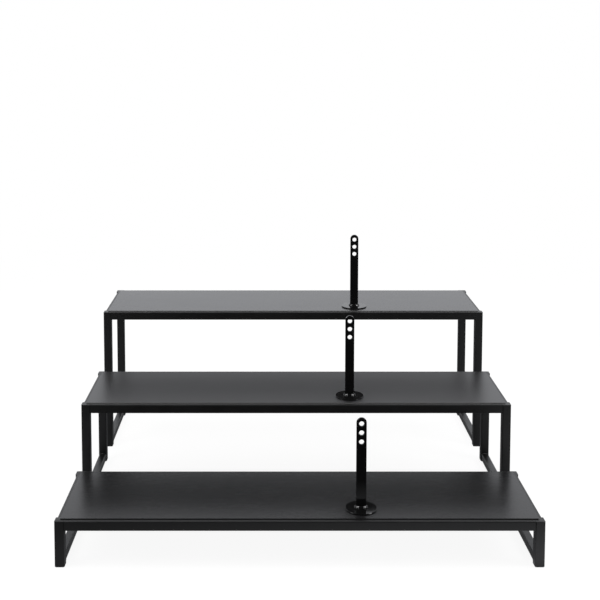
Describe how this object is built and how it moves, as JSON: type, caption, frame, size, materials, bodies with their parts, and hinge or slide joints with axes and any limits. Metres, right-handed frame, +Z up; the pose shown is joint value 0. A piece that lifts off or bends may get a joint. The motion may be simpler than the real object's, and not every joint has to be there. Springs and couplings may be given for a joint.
{
  "type": "tiered bicycle display stand",
  "caption": "Stepped row of black steel tube tables with thin deck boards, each carrying a movable upright flat-bar post with holes that holds a bicycle by its crank.",
  "frame": {"origin": "middle of the whole stand's footprint, at floor level", "axes": "+Z up, +X to the right along the decks seen from the front, +Y from the lowest table at the front to the highest at the back"},
  "size_m": [1.5, 1.35, 0.8402],
  "materials": {
    "frame_coat": "satin black powder coat",
    "deck_board": "black satin laminate on a thin board",
    "glide": "matt black",
    "post_coat": "gloss black powder coat",
    "pad_rubber": "matt black"
  },
  "bodies": {
    "lower_table": {"lower_left_front_leg": "frame_coat", "lower_left_rear_leg": "frame_coat", "lower_right_front_leg": "frame_coat", "lower_right_rear_leg": "frame_coat", "lower_left_runner": "frame_coat", "lower_right_runner": "frame_coat", "lower_left_side_rail": "frame_coat", "lower_right_side_rail": "frame_coat", "lower_left_bearer": "frame_coat", "lower_right_bearer": "frame_coat", "lower_front_rail": "frame_coat", "lower_rear_rail": "frame_coat", "lower_deck": "deck_board", "lower_foot_glides": "glide"},
    "lower_crank_post": {"lower_post_base": "post_coat", "lower_post": "post_coat", "lower_base_pad": "pad_rubber"},
    "middle_table": {"middle_left_front_leg": "frame_coat", "middle_left_rear_leg": "frame_coat", "middle_right_front_leg": "frame_coat", "middle_right_rear_leg": "frame_coat", "middle_left_runner": "frame_coat", "middle_right_runner": "frame_coat", "middle_left_side_rail": "frame_coat", "middle_right_side_rail": "frame_coat", "middle_left_bearer": "frame_coat", "middle_right_bearer": "frame_coat", "middle_front_rail": "frame_coat", "middle_rear_rail": "frame_coat", "middle_deck": "deck_board", "middle_foot_glides": "glide"},
    "middle_crank_post": {"middle_post_base": "post_coat", "middle_post": "post_coat", "middle_base_pad": "pad_rubber"},
    "upper_table": {"upper_left_front_leg": "frame_coat", "upper_left_rear_leg": "frame_coat", "upper_right_front_leg": "frame_coat", "upper_right_rear_leg": "frame_coat", "upper_left_runner": "frame_coat", "upper_right_runner": "frame_coat", "upper_left_side_rail": "frame_coat", "upper_right_side_rail": "frame_coat", "upper_left_bearer": "frame_coat", "upper_right_bearer": "frame_coat", "upper_front_rail": "frame_coat", "upper_rear_rail": "frame_coat", "upper_deck": "deck_board", "upper_foot_glides": "glide"},
    "upper_crank_post": {"upper_post_base": "post_coat", "upper_post": "post_coat", "upper_base_pad": "pad_rubber"}
  },
  "joints": [
    {"name": "lower_post_slide", "type": "slide", "parent": "lower_table", "child": "lower_crank_post", "axis": [1, 0, 0], "range_m": [-0.879, 0.491]},
    {"name": "middle_post_slide", "type": "slide", "parent": "middle_table", "child": "middle_crank_post", "axis": [1, 0, 0], "range_m": [-0.877, 0.493]},
    {"name": "upper_post_slide", "type": "slide", "parent": "upper_table", "child": "upper_crank_post", "axis": [1, 0, 0], "range_m": [-0.932, 0.438]},
    {"name": "middle_table_spacing", "type": "slide", "parent": "lower_table", "child": "middle_table", "axis": [0, 1, 0], "range_m": [-0.089, 0.1]},
    {"name": "upper_table_spacing", "type": "slide", "parent": "middle_table", "child": "upper_table", "axis": [0, 1, 0], "range_m": [-0.119, 0.1]}
  ]
}
